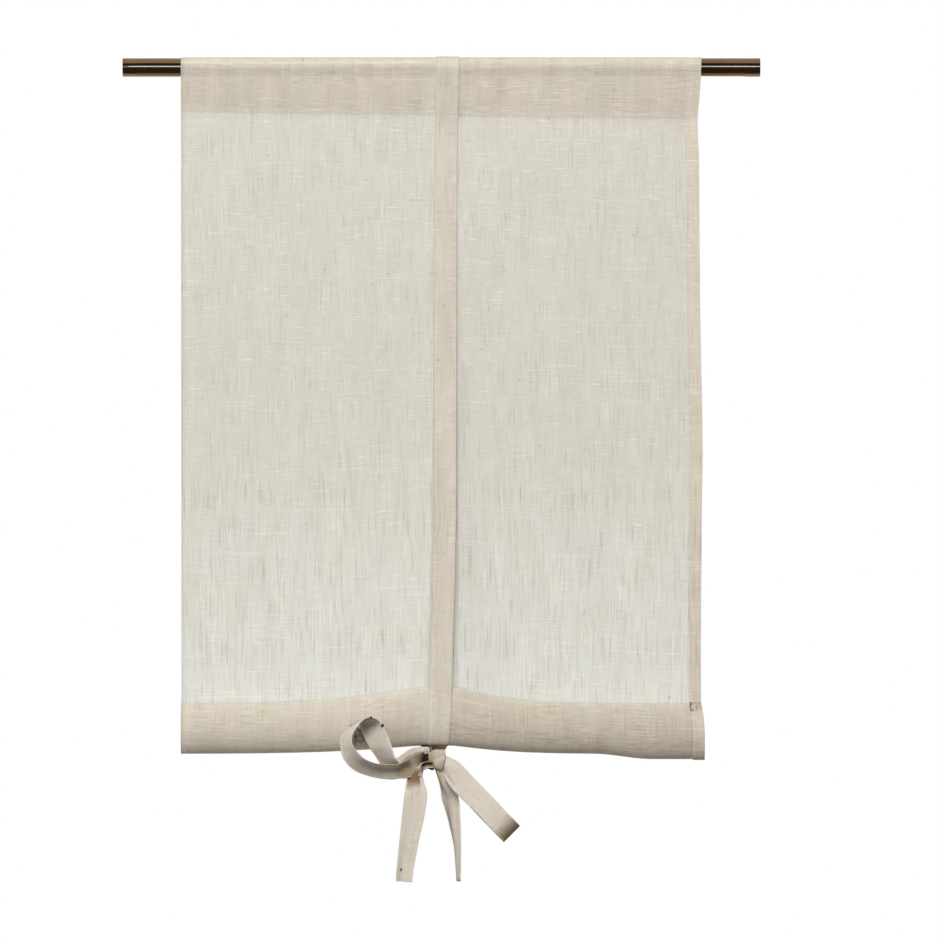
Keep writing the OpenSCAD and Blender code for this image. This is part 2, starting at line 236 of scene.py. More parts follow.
def weaveLinen(name, facts):
    made, tree = newMaterial(name)
    w = weaveFacts
    hangs = "pocket" in facts  # the hanging cloth, not the tape
    coords = addNode(tree, "ShaderNodeUVMap", uv_map="clothMap").outputs["UV"]
    parts = addNode(tree, "ShaderNodeSeparateXYZ", {0: coords}).outputs
    across, along = parts["X"], parts["Y"]

    def yarns(key):
        return grain(tree, coords, *yarnGrain[key])

    def showing(key):
        return ramp(tree, yarns(key), *w[key])

    def times(a, b, clamp=False):
        return mathNode(tree, "MULTIPLY", a, b, clamp)

    def less(a, b, clamp=False):
        return mathNode(tree, "SUBTRACT", a, b, clamp)

    def addTo(total, value, amount):
        fed = {0: value, 1: amount, 2: total}
        return addNode(tree, "ShaderNodeMath", fed, operation="MULTIPLY_ADD").outputs[0]

    def share(key):  # from single to doubled cloth
        single, double = facts[key]
        return single if single == double else ramp(tree, layered, 0.0, 1.0, single, double)

    warp, weft = yarns("warp"), yarns("weft")
    lines, longWeft, slubs, ticks = (showing(key) for key in ("lines", "longWeft", "slubs", "ticks"))
    if hangs:
        ragged = less(yarns("ragged"), 0.5)
        inPocket = fallOff(tree, addTo(along, ragged, facts["pocketRagged"]), *facts["pocket"])
        overTop = fallOff(tree, addTo(along, ragged, facts["rollRagged"]), *facts["rollTop"], facts["pastTop"])
        inRoll = times(ramp(tree, along, *facts["rolled"]), overTop)
        inHem = less(ramp(tree, across, *facts["hem"]), inPocket, clamp=True)
        layered = mathNode(tree, "MAXIMUM", inPocket, inRoll)  # 1 where the cloth lies doubled
        lowDown = ramp(tree, along, *facts["lowDown"])
        lines = times(lines, ramp(tree, lowDown, 0.0, 1.0, facts["linesHigh"], 1.0))
        slubs = times(slubs, fallOff(tree, lowDown, 0.0, 1.0, facts["slubsLow"]))

    tone = addTo(1.0, less(yarns("bands"), 0.5), share("bands"))
    for key, value in (("warp", warp), ("weft", weft)):  # both show in patches
        tone = addTo(tone, times(less(value, 0.5), showing(key + "Patch")), share(key))
    for value, amount in ((slubs, facts["slub"]), (ticks, facts["tick"]),
                          (lines, share("lines")), (longWeft, share("longWeft"))):
        tone = addTo(tone, value, amount)
    if hangs:
        tone = addTo(tone, times(showing("hatch"), lowDown), share("hatch"))
        # painted shade on the roll, to the right of the tie
        tone = addTo(tone, times(inRoll, ramp(tree, across, *facts["tieSide"])), facts["rightRollShade"])
        for place, amount in zip((less(inHem, inRoll, clamp=True), times(inHem, inRoll)), facts["hemTone"]):
            tone = addTo(tone, place, amount)
        patchBreakup = showing("patchBreakup")
        # a dark mark, and painted shadows by the hem, the tape and the loop
        for place, half, low, high, soft, amount in facts["marksAndShadows"]:
            patchRun = times(inRange(tree, along, (low - soft, low + soft), (high - soft, high + soft)), patchBreakup)
            beside = fallOff(tree, awayFrom(tree, across, place), 0.4 * half, half)
            tone = addTo(tone, times(patchRun, beside), amount)
        hemLine = fallOff(tree, awayFrom(tree, across, facts["hem"][0]), *facts["hemLine"])
        hemLine = times(hemLine, fallOff(tree, inPocket, 0.0, 1.0, facts["hemLineInPocket"]))
        tone = addTo(tone, hemLine, facts["hemLineTone"])
    else:
        # painted shade in the seam's groove
        place, half = facts["groove"]
        groove = fallOff(tree, awayFrom(tree, across, place), 0.4 * half, half)
        tone = addTo(tone, groove, facts["grooveShadeTone"])
        # painted highlight along the tape's edges
        tone = addTo(tone, ramp(tree, mathNode(tree, "ABSOLUTE", across), *facts["rim"]), facts["edgeHighlightTone"])

    colour = (*facts["yarn"], 1)
    if hangs:
        # painted light: paler lower down the cloth
        colour = mixColour(tree, "MIX", ramp(tree, along, *facts["paler"]), colour, (*facts["litYarnLow"], 1))
        double = mathNode(tree, "MAXIMUM", layered, inHem)
        colour = mixColour(tree, "MIX", double, colour, (*facts["doubled"], 1))
    colour = mixColour(tree, "MULTIPLY", ramp(tree, yarns("tint"), *w["tintShow"]), colour, (*w["tint"], 1))
    if hangs:
        # painted shade low on the roll's front, stronger to the right
        lowShade = inRange(tree, along, *facts["rollLowShade"])
        for part in (showing("lowShadeDashes"), showing("lowShadePatches"), ramp(tree, across, *facts["lowShadeSide"])):
            lowShade = times(lowShade, part)
        colour = mixColour(tree, "MULTIPLY", lowShade, colour, (*facts["lowShadeColour"], 1))
    browned = {i: addTo(1.0 - lean, tone, lean) for i, lean in enumerate(w["browner"])}
    browned = addNode(tree, "ShaderNodeCombineColor", browned).outputs[0]
    colour = mixColour(tree, "MULTIPLY", 1.0, colour, browned)
    if hangs:
        # painted highlight where the cloth curves over the top of the rod
        paintedHighlight = fallOff(tree, awayFrom(tree, along, facts["paintedHighlight"]), *facts["paintedHighlightHalf"])
        for part in (showing("lineDashes"), ramp(tree, across, *facts["paintedHighlightRun"])):
            paintedHighlight = times(paintedHighlight, part)
        colour = mixColour(tree, "MIX", paintedHighlight, colour, (*facts["paintedHighlightColour"], 1))
    else:
        # painted shade in folds and under strands, darker and browner
        deep = addNode(tree, "ShaderNodeAttribute", attribute_name="deepFold").outputs["Fac"]
        for start, end, left in facts["shade"]:
            colour = mixColour(tree, "MULTIPLY", ramp(tree, deep, start, end), colour, (*left, 1))

    turns = {0: coords, 1: (*(2 * math.pi / pitch for pitch in w["pitch"]), 0)}  # single yarns, over and under
    turned = addNode(tree, "ShaderNodeVectorMath", turns, operation="MULTIPLY").outputs[0]
    waves = addNode(tree, "ShaderNodeSeparateXYZ", {0: turned}).outputs
    crossing = times(mathNode(tree, "SINE", waves["X"]), mathNode(tree, "SINE", waves["Y"]))
    raised = mathNode(tree, "ADD", warp, mathNode(tree, "ADD", weft, slubs))
    bump = addNode(tree, "ShaderNodeBump", {
        "Strength": w["bump"], "Distance": w["bumpDepth"],
        "Height": addTo(raised, crossing, w["crossing"])}).outputs[0]

    body = addNode(tree, "ShaderNodeBsdfPrincipled", {
        "Base Color": colour, "Normal": bump, "Roughness": ramp(tree, weft, 0.3, 0.7, *w["roughness"]),
        "Specular IOR Level": w["specular"], "Sheen Weight": w["sheen"], "Sheen Roughness": w["sheenRoughness"]})
    through = addNode(tree, "ShaderNodeBsdfTranslucent", {"Color": colour, "Normal": bump})
    cloth = mixShader(tree, facts["glow"], body.outputs[0], through.outputs[0])
    if hangs:
        drawn = inRange(tree, mathNode(tree, "ABSOLUTE", along), *facts["overRod"])
        gaps = addTo(facts["seeThrough"], drawn, facts["overRodGaps"])
        for low, high in facts["opens"]:
            gaps = addTo(gaps, ramp(tree, along, low, high), facts["lowGaps"])
        outside = less(fallOff(tree, along, *facts["rolledIn"]), ticks, clamp=True)
        besideHem = fallOff(tree, inHem, 0.0, 1.0, facts["hemGaps"])
        gaps = times(times(gaps, outside), besideHem, clamp=True)
        clear = addNode(tree, "ShaderNodeBsdfTransparent")
        cloth = mixShader(tree, gaps, cloth, clear.outputs[0])
    showSurface(tree, cloth)
    return made


linen = weaveLinen("naturalLinen", linenCloth)
tapeLinen = weaveLinen("doubledLinen", tapeCloth)

threadFacts = {"colour": (0.78, 0.73, 0.65), "tone": (0.82, 1.1), "ply": (2600, 2600, 2600),
               "roughness": 0.7, "sheen": 0.2}


def spinThread(facts):
    made, tree = newMaterial("sewingThread")
    place = addNode(tree, "ShaderNodeTexCoord").outputs["Object"]
    ply = grain(tree, place, facts["ply"], 1.0)
    body = addNode(tree, "ShaderNodeBsdfPrincipled", {
        "Base Color": mottle(tree, facts["colour"], ply, *facts["tone"]),
        "Roughness": facts["roughness"], "Sheen Weight": facts["sheen"]})
    showSurface(tree, body.outputs[0])
    return made


thread = spinThread(threadFacts)
print("cloth and thread materials made")

# The hanging cloth: sizes as in the solids, in metres
panelFacts = {
    "halfWidth": 250 * mm, "layer": 0.5 * mm,
    "hemLayer": 1.3 * mm, "hemWidth": 11.3 * mm, "hemStep": 1.0 * mm, "hemRise": 3,
    "pocketRadius": 9.55 * mm, "pocketDrop": 46 * mm, "pocketBow": 0.4 * mm,
    "seamLeft": -41.4 * mm, "seamRight": -48.6 * mm,
    "sewnOver": 1.5 * mm, "sewnClear": 1.02,  # the pocket's end, past the seam, a layer behind
    "drop": 610 * mm, "rollHeight": 49 * mm, "rollDepth": 30 * mm, "turns": 4,
    "tieLift": 16 * mm, "tieSqueeze": 6 * mm, "endSag": 5 * mm,
    "turnShare": 0.17, "turnStep": 2.6 * mm,
    "knotX": -4 * mm, "flatHalf": 13 * mm, "liftLeft": 75 * mm, "liftRight": 50 * mm, "liftPower": 1.3,
    "sagStart": 105 * mm, "sagRun": 55 * mm,
    "ripple": 0.5 * mm,
    "ripples": ((1.0, 9, 2.1, 0, 0.7), (0.6, 23, -3, 1, 1)),  # share, waves across, drift, start, swell
    "calm": 20 * mm, "calmRun": 50 * mm,  # it hangs flat behind the tape
    "edgeFrom": 60 * mm,  # from here to the right edge the cloth strays
    "edgeRun": ((-700, 2.6), (-640, 2.6), (-625, 1.8), (-612, -0.6), (-560, -0.8), (-420, 0.2), (-368, 1.0),
                (-320, 0.2), (-270, -0.8), (-225, -1.7), (-90, -2.7), (-52, -4.4), (-32, -2.7), (-12, -1.2),
                (12, -0.4)),  # height and run of that edge, in mm
    "pocketRows": 8, "overRodRows": 25, "dropRows": 74, "outerTurn": 450, "outerStep": 7.5, "innerStep": 15,
    "wideColumns": 64, "nearColumns": 25, "nearTie": 60 * mm, "columnGap": 2 * mm,
    "hemColumns": (-0.5, 0.0, 0.5, 1.0, 3.0, 6.0, 9.0),  # from the hem's inner edge, in mm
}
seamRow = 2 * panelFacts["pocketRows"] + panelFacts["overRodRows"]  # the first row of the flat cloth


def ease(s):
    s = np.clip(s, 0, 1)
    return s * s * (3 - 2 * s)


def readOff(z, pairs):
    heights, values = np.array(pairs, float).T * mm
    return np.interp(z, heights, values)


def tiePull(x):
    p = panelFacts
    away = np.maximum(0, np.abs(x - p["knotX"]) - p["flatHalf"])
    return np.exp(-((away / np.where(x < p["knotX"], p["liftLeft"], p["liftRight"])) ** p["liftPower"]))


def rollShape(x):
    p = panelFacts
    pull = tiePull(x)
    top = -p["drop"] + p["tieLift"] * pull
    sag = p["endSag"] * ease((x - p["halfWidth"] + p["sagStart"]) / p["sagRun"])
    low = -p["drop"] - p["rollHeight"] + p["tieLift"] * pull / 2 - sag
    middle = (top + low + p["turnStep"] / 2) / 2
    high = (top - low + p["turnStep"] - p["layer"]) / 2
    deep = (p["rollDepth"] - p["tieSqueeze"] * pull) / 2
    return middle, high, deep


def coilAt(x, angle):
    p = panelFacts
    middle, high, deep = rollShape(x)
    turn, a = angle / 360, math.radians(angle)
    y = deep * (1 - p["turnShare"] * turn) * math.cos(a)
    return y, middle - (high - p["turnStep"] * turn) * math.sin(a)


def seamLine(x):
    p = panelFacts
    return p["seamLeft"] + (p["seamRight"] - p["seamLeft"]) * (x + p["halfWidth"]) / (2 * p["halfWidth"])


def clothRows(x):
    p = panelFacts
    r = p["pocketRadius"]
    lean = math.asin(r / p["pocketDrop"])
    level, seam = 0 * x, seamLine(x)
    endY, endZ = r * math.cos(lean), -r * math.sin(lean)
    steps = np.linspace(0, 1, p["pocketRows"] + 1)[:-1]
    rows = []
    for s in steps:  # back of the pocket, from its sewn end up
        bow = p["pocketBow"] * math.sin(math.pi * s)
        y = p["layer"] * p["sewnClear"] * (1 - s) + endY * s + bow
        rows.append((y + level, (seam - p["sewnOver"]) * (1 - s) + endZ * s))
    for a in np.linspace(math.pi / 2 + lean, -math.pi / 2 - lean, p["overRodRows"]):
        rows.append((r * math.sin(a) + level, r * math.cos(a) + level))
    for s in steps[::-1]:  # front of the pocket, down to the seam
        bow = p["pocketBow"] * math.sin(math.pi * s)
        rows.append((-endY * s - bow + level, seam * (1 - s) + endZ * s))
    middle, _, deep = rollShape(x)
    for s in np.linspace(0, 1, p["dropRows"])[1:-1]:  # the flat cloth
        z = seam + s * (middle - seam)
        slant = deep * ((z - seam) / (middle - seam))
        wave = level
        for part, waves, drift, start, swell in p["ripples"]:
            swing = np.sin(waves * x / p["halfWidth"] + drift * s + start)
            wave = wave + part * p["ripple"] * swing * math.sin(math.pi * s) ** swell
        rows.append((slant + wave * ease((np.abs(x) - p["calm"]) / p["calmRun"]), z))
    coilStart = len(rows)
    rows += [coilAt(x, a) for a in np.arange(0, p["outerTurn"], p["outerStep"])]
    rows += [coilAt(x, a) for a in np.arange(p["outerTurn"], 360 * p["turns"] + 1, p["innerStep"])]
    return rows, coilStart


def clothColumns():
    p = panelFacts
    hem = p["halfWidth"] - p["hemWidth"]
    near = p["knotX"] + np.linspace(-1, 1, p["nearColumns"]) * p["nearTie"]
    wide = np.linspace(-p["halfWidth"], hem - 1.2 * mm, p["wideColumns"])
    wide = wide[(wide < near[0] - p["columnGap"]) | (wide > near[-1] + p["columnGap"])]
    edge = hem + np.array(p["hemColumns"]) * mm
    return np.unique(np.concatenate([wide, near, edge, [p["halfWidth"] - 0.5 * mm, p["halfWidth"]]]))


def hangCloth(facts, material):
    x = clothColumns()
    rows, coilStart = clothRows(x)
    y = np.array([r[0] for r in rows])
    z = np.array([r[1] for r in rows])
    rightShare = ease((x - facts["edgeFrom"]) / (facts["halfWidth"] - facts["edgeFrom"]))
    wide = x + readOff(z, facts["edgeRun"]) * rightShare
    middle = np.stack([wide, y, z], axis=2)
    step = np.linalg.norm(np.diff(middle, axis=0), axis=2)
    length = np.vstack([np.zeros(len(x)), np.cumsum(step, axis=0)])
    length -= length[facts["pocketRows"] + facts["overRodRows"] // 2]  # counted from the top of the rod
    down = np.gradient(middle, axis=0)
    side = np.gradient(middle, axis=1)
    normal = np.cross(down, side)
    normal /= np.linalg.norm(normal, axis=2, keepdims=True)  # towards the cloth's front side
    hem = ease((x - facts["halfWidth"] + facts["hemWidth"]) / facts["hemStep"] + 0.5)
    below = ease((np.arange(len(rows)) - seamRow - 1) / facts["hemRise"])  # the hem thickens below the seam
    front = facts["layer"] / 2
    back = front + (facts["hemLayer"] - facts["layer"]) * np.outer(below, hem)
    skins = [middle + normal * front, middle - normal * back[:, :, None]]
    n, m = y.shape
    points = np.concatenate([s.reshape(-1, 3) for s in skins])
    rowLength = np.broadcast_to(length.mean(axis=1)[:, None], y.shape)
    uv = np.stack([np.broadcast_to(x, y.shape), rowLength], axis=2).reshape(-1, 2)
    at = np.arange(n * m).reshape(n, m)
    a, b, c, d = at[:-1, :-1].ravel(), at[:-1, 1:].ravel(), at[1:, 1:].ravel(), at[1:, :-1].ravel()
    faces = [np.stack([a, d, c, b], axis=1), np.stack([a, b, c, d], axis=1) + n * m]
    for line, ahead in ((at[0], True), (at[-1], False), (at[:, 0], False), (at[:, -1], True)):
        p, q = (line[:-1], line[1:]) if ahead else (line[1:], line[:-1])
        faces.append(np.stack([p, q, q + n * m, p + n * m], axis=1))  # the four rims
    made = meshObject("linenPanel", points, np.concatenate(faces), material, np.concatenate([uv, uv]))
    faceOutwards(made)
    run = float((length[-1] - length[0]).mean())
    print("cloth hung:", len(points), "points, length", round(run, 4), "m")
    return made, middle, normal, x, coilStart, run


panel, panelMiddle, panelNormal, panelX, coilRow, panelLength = hangCloth(panelFacts, linen)

# The tie tape: a sling round cloth and roll, and the bow under it
tapeFacts = {
    "width": 22 * mm, "thick": 0.7 * mm, "gap": 0.08 * mm, "rollClear": 0.5 * mm,
    "knot": (-4 * mm, 0.0, -664 * mm),
    "neckApart": 2.5 * mm, "neckAbove": 8 * mm, "neckWidth": 14 * mm, "neckThick": 2 * mm,  # over the knot
    "line": ((-655, -4.0), (-640, -2.4), (-626, -1.4), (-592, -0.9), (-520, 1.4), (-434, 3.2), (-320, 3.5),
             (-150, 3.9), (-80, 4.3), (-50, 5.0), (-20, 5.8), (12, 6.0)),  # height and middle, in mm
    "roundRoll": (12, 15, 18, 22, 26, 30, 35, 41, 47, 54, 62, 70, 79, 88),  # degrees from the roll's underside
    "rollWidth": 0.94, "backWidth": 1.03,  # shares of the width
    "seamZ": -50 * mm, "strandRows": 40, "pocketRows": 6, "overRodRows": 25,
    "hugShare": 0.93, "hugPower": 1.9,  # how soon the front strand lies close to the cloth
    "ringPoints": 19, "ringsPerRow": 8,
    "pleats": {"rightLoop": 1.0, "leftTail": 1.0, "middleTail": 1.0}, "pleatDepth": 0.55,
    "foldBack": {"knotWrap": 6 * mm}, "foldFrom": 0.3, "foldWave": 0.5 * mm, "foldWaves": 16,
    "thinEdge": 0.8,
}


def smoothPath(rows, n):
    out = []
    for i in range(len(rows) - 1):
        a, b = rows[max(i - 1, 0)], rows[i]
        c, d = rows[i + 1], rows[min(i + 2, len(rows) - 1)]
        for k in range(n):
            s = k / n
            out.append((2 * b + (c - a) * s + (2 * a - 5 * b + 4 * c - d) * s * s
                        + (3 * b - a - 3 * c + d) * s ** 3) / 2)
    out.append(rows[-1])
    return np.array(out)


def unit(v):
    return v / np.maximum(np.linalg.norm(v, axis=-1, keepdims=True), 1e-12)


def sweepTape(path, start, pleats, foldBack):
    t = tapeFacts
    n = t["ringPoints"]
    place, cross, width, thick = path[:, :3], path[:, 3:6], path[:, 6], path[:, 7]
    crease = path[:, 8] if path.shape[1] > 8 else 0 * width
    go = unit(np.gradient(place, axis=0))
    wide = unit(cross - (cross * go).sum(1, keepdims=True) * go)
    out = np.cross(go, wide)
    run = start + np.concatenate([[0], np.cumsum(np.linalg.norm(np.diff(place, axis=0), axis=1))])
    s = np.linspace(-1, 1, n)
    lift = np.outer(crease, 1 - np.sqrt(s * s + 0.01))  # a fold line down the middle
    if pleats:
        quarter = t["width"] / (4 * pleats)
        tight = np.minimum(width / (4 * pleats), quarter)
        depth = t["pleatDepth"] * np.sqrt(quarter ** 2 - tight ** 2)
        lift = lift + np.outer(depth, np.cos(math.pi * pleats * s))
    if foldBack:  # one edge is folded away from view
        edge = np.maximum(0, -s - t["foldFrom"])
        lift = lift - (foldBack * edge + t["foldWave"] * np.sin(t["foldWaves"] * edge))
    skin = np.sqrt(np.clip(1 - t["thinEdge"] * np.abs(s) ** 8, 0, 1))  # edges thin out a little
    base = place[:, None] + wide[:, None] * (s * 0.5)[None, :, None] * width[:, None, None]
    base = base + out[:, None] * lift[:, :, None]
    half = out[:, None] * (thick[:, None] * 0.5 * skin[None, :])[:, :, None]
    ring = np.concatenate([base + half, (base - half)[:, ::-1]], axis=1)
    count, rings = 2 * n, len(place)
    at = np.arange(count * rings).reshape(rings, count)
    nxt = np.roll(at, -1, axis=1)
    faces = list(np.stack([at[:-1].ravel(), nxt[:-1].ravel(), nxt[1:].ravel(), at[1:].ravel()], axis=1))
    for i in range(n - 1):  # the two ends
        for end in (0, rings - 1):
            faces.append(at[end][[i, i + 1, count - 2 - i, count - 1 - i]])
    across = np.concatenate([s, s[::-1]]) * t["width"] / 2
    uv = np.stack(np.broadcast_arrays(across[None, :], run[:, None]), axis=2)
    return ring.reshape(-1, 3), faces, uv.reshape(-1, 2), run[-1], {"base": base, "half": half, "s": s}


def slingPath():
    t, p = tapeFacts, panelFacts
    knotX, _, knotZ = t["knot"]
    tieX = np.array([knotX])
    rollDeep = float(rollShape(tieX)[2][0])
    onCloth = p["layer"] / 2 + t["gap"] + t["thick"] / 2
    onRoll = p["layer"] / 2 + t["rollClear"] + t["thick"] / 2

    def row(y, z, share=1.0):
        return [float(readOff(z, t["line"])), y, z, 1, 0, 0, t["width"] * share, t["thick"]]

    def wound(angle):  # a point on the roll's outer turn
        (y, z), (nextY, nextZ) = ([float(v[0]) for v in coilAt(tieX, a)] for a in (angle, angle + 1))
        dy, dz = nextY - y, nextZ - z
        long = math.hypot(dy, dz)
        return row(y - dz / long * onRoll, z + dy / long * onRoll, t["rollWidth"])

    def between(a, b, count):
        for s in np.linspace(0, 1, count + 2)[1:-1]:
            yield s, a[0] + (b[0] - a[0]) * s, a[1] + (b[1] - a[1]) * s

    def hugging(a, b):  # off the roll, then close to the cloth
        rows = []
        for s, _, z in between(a, b, t["strandRows"]):
            clothY = rollDeep * (1 - s) * t["hugShare"]
            rows.append(row(clothY + b[0] * s + (a[0] - clothY) * (1 - s) ** t["hugPower"], z))
        return rows

    def bowed(a, b, sign):  # over the pocket's bowed sides
        bow = sign * p["pocketBow"]
        return [row(y + bow * math.sin(math.pi * s), z) for s, y, z in between(a, b, t["pocketRows"])]

    neck = [[knotX, side * t["neckApart"], knotZ + t["neckAbove"], 1, 0, 0, t["neckWidth"], t["neckThick"]]
            for side in (-1, 1)]
    front = [wound(90 + turn) for turn in t["roundRoll"]]
    back = [wound(90 - turn) for turn in t["roundRoll"]]
    arc = p["pocketRadius"] + onCloth
    lean = math.asin(p["pocketRadius"] / p["pocketDrop"])
    turns = np.linspace(-math.pi / 2 - lean, math.pi / 2 + lean, t["overRodRows"])
    overRod = [row(arc * math.sin(a), arc * math.cos(a)) for a in turns]
    seam, seamBack = (-onCloth, t["seamZ"]), (onCloth + p["layer"], t["seamZ"])
    rows = [neck[0], *front, *hugging(front[-1][1:3], seam), row(*seam)]
    rows += bowed(seam, overRod[0][1:3], -1) + overRod
    rows += bowed(overRod[-1][1:3], seamBack, 1) + [row(*seamBack)]
    rows += [row(y, z, t["backWidth"]) for _, y, z in between(seamBack, back[-1][1:3], t["strandRows"])]
    path = np.array(rows + back[::-1] + [neck[1]])
    width = path[:, 6].copy()
    for _ in range(3):  # widths change gently
        width[1:-1] = (width[:-2] + 2 * width[1:-1] + width[2:]) / 4
    path[:, 6] = width
    return path


bowRows = {  # from the knot's middle, in mm: place, across, width, thickness, fold line
    "leftLoop": [
        [-8, 3, -1, 0.1, -0.2, 0.95, 14, 1.2, 0], [-13.5, -2, -2.5, 0.2, -0.1, 0.95, 19, 1, 0],
        [-17.6, -12, -4.6, 0.3, 0, 0.95, 24, 0.9, 1], [-25.8, -14, -8.5, 0.39, -0.3, 0.87, 21, 0.9, 3.5],
        [-34.3, -16, -10.4, 0.38, -0.42, 0.82, 19, 0.9, 5], [-42.9, -20, -11.7, 0.38, -0.5, 0.77, 18.5, 0.9, 5],
        [-59.6, -28, -9.8, 0.36, -0.66, 0.66, 19, 0.9, 4.5], [-73.8, -35, -4.4, 0.55, -0.60, 0.58, 19, 0.9, 2],
        [-82.5, -39, 4.4, 0.74, -0.55, 0.39, 18, 0.9, 0.5], [-86.7, -39, 13.6, 0.64, -0.77, 0, 18.5, 0.9, 0],
        [-86.3, -36.5, 23.2, 0.45, -0.89, 0, 21, 0.9, 0], [-79.6, -32.5, 31.9, 0.30, -0.95, 0.09, 22, 0.9, 0],
        [-72.3, -28, 37.4, 0.17, -0.97, 0.15, 22, 0.9, 0], [-67.6, -24, 37.3, 0.45, -0.82, 0.35, 22, 0.9, 0],
        [-64.6, -20.5, 34, 0.78, -0.52, 0.33, 22, 0.9, 0], [-61.7, -19.5, 28.5, 0.91, -0.30, 0.22, 22, 0.9, 0],
        [-57.2, -20, 18.9, 0.94, -0.28, 0.13, 22, 0.9, 0], [-52.4, -20, 9.5, 0.86, -0.45, 0.06, 22, 0.9, 0],
        [-47.6, -17, -1, 0.72, -0.65, 0.15, 22, 0.9, 0], [-42, -12, -7, 0.3, -0.6, 0.7, 20, 0.9, 0],
        [-36, -9, -4, -0.3, -0.3, 0.9, 14, 1, 1], [-30, -8, 1.5, -0.4, -0.2, 0.9, 10, 1, 1.5],
        [-23, -7, 5.5, -0.35, -0.2, 0.9, 11, 1, 2], [-15, -5, 8, -0.3, -0.1, 0.95, 8, 1.2, 1.5],
        [-7, -1, 9, -0.2, 0, 1, 6, 1.6, 1]],
    "rightLoop": [
        [2, -3, -2, 0.1, 0, 1, 13, 1.2, 0], [8, -7, -5.6, 0.15, 0, 0.99, 17, 1, 0],
        [14.6, -11, -11.1, 0.31, 0, 0.95, 21.5, 0.9, 0], [24.4, -15.5, -22.6, 0.56, 0, 0.83, 23, 0.9, 0],
        [45, -22, -43, 0.7, 0, 0.7, 22, 0.9, 0], [58, -24, -57, 0.7, 0, 0.7, 22, 0.9, 0],
        [65, -22.5, -64.2, 0.7, 0, 0.7, 22, 0.9, 0], [69.8, -18, -69.3, 0.7, 0, 0.7, 22, 0.9, 0],
        [71.3, -12, -71.2, 0.7, 0, 0.7, 22, 0.9, 0], [69, -7, -69, 0.7, 0, 0.7, 22, 0.9, 0],
        [61, -4.5, -61, 0.7, 0, 0.7, 22, 0.9, 0], [41, -5, -40, 0.7, 0, 0.7, 22, 0.9, 0],
        [24, -4, -22, 0.6, 0.1, 0.75, 19, 1, 0], [9, -2, -7, 0.3, 0.1, 0.9, 14, 1.2, 0],
        [3, 0, -2, 0.2, 0, 0.95, 10, 1.6, 0]],
    "leftTail": [
        [-4, -4, -4.5, 0, -0.4, 0.9, 6, 1.6, 0], [-11, -8, -4.2, 0.1, -0.3, 0.95, 7, 1.4, 0],
        [-17, -9.5, -7, 0.6, -0.3, 0.7, 9, 1.2, 0], [-20.5, -9, -14, 0.95, -0.2, 0.3, 13, 1, 0],
        [-21.5, -9.5, -23, 1, -0.1, 0.1, 18, 0.9, 0.6], [-20.6, -12, -34, 1, -0.05, 0.05, 22, 0.9, 0.6],
        [-23.5, -13, -56, 0.97, -0.2, 0.1, 21.5, 0.9, 0.2], [-27.2, -13, -76, 0.92, -0.36, 0.1, 20, 0.9, 0],
        [-31.8, -12.2, -106, 0.84, -0.54, 0, 19, 0.9, 0], [-32.6, -12, -117, 0.83, -0.56, 0, 19, 0.9, 0]],
    "middleTail": [
        [0, -3, -5, 0.9, -0.4, 0, 8, 1.6, 0], [1.5, -3.5, -11, 0.8, -0.5, 0, 11, 1.2, 0.6],
        [6, -3, -21, 0.72, -0.68, 0, 17, 0.9, 0.6], [12, -1, -36, 0.74, -0.67, 0, 22, 0.9, 0.4],
        [15.6, 0, -62, 0.57, -0.82, 0, 19.5, 0.9, 0], [18.2, 1, -85, 0.33, -0.94, 0, 19.5, 0.9, 0],
        [20, 2, -117, 0.11, -0.99, 0, 20, 0.9, 0]],
    "knotWrap": [
        [-0.3, 4, 8, 1, 0, 0, 15, 1.2, 0], [-0.3, 0, 10.5, 1, 0, 0, 15.5, 1.2, 0],
        [-0.3, -5, 9.5, 1, 0, 0.03, 16, 1.2, 0], [-0.3, -8, 4.5, 1, 0, 0.05, 16.5, 1.2, 0],
        [-0.3, -8.5, -1, 1, 0, 0.05, 16, 1.2, 0], [0, -7, -6, 1, 0, 0, 14, 1.2, 0],
        [0.5, -4, -9.5, 1, 0, 0, 12, 1.2, 0], [1, 1, -10, 1, 0, 0, 11, 1.2, 0]],
    "knotLobe": [
        [3.5, -7, 3, 0.9, 0, 0.3, 8, 1, 0.5], [2.2, -9.8, -0.5, 0.88, 0, 0.4, 10.5, 1, 1],
        [1.6, -10, -5, 0.92, 0, 0.3, 9.5, 1, 1], [2.6, -8.5, -8.8, 1, 0, 0, 5, 1, 0.6],
        [3.2, -6, -10.6, 1, 0, 0, 2, 1, 0]],
    "knotCore": [
        [-3, 1, 12, 1, 0, 0, 18, 5, 0], [-5, 1, 8, 1, 0, 0, 24, 7, 0], [-5.5, 0, 1, 1, 0, 0, 28, 8, 0],
        [-3, 0, -3, 1, 0, 0, 20, 7, 0], [0, 0, -8, 1, 0, 0, 11, 5, 0]],
}
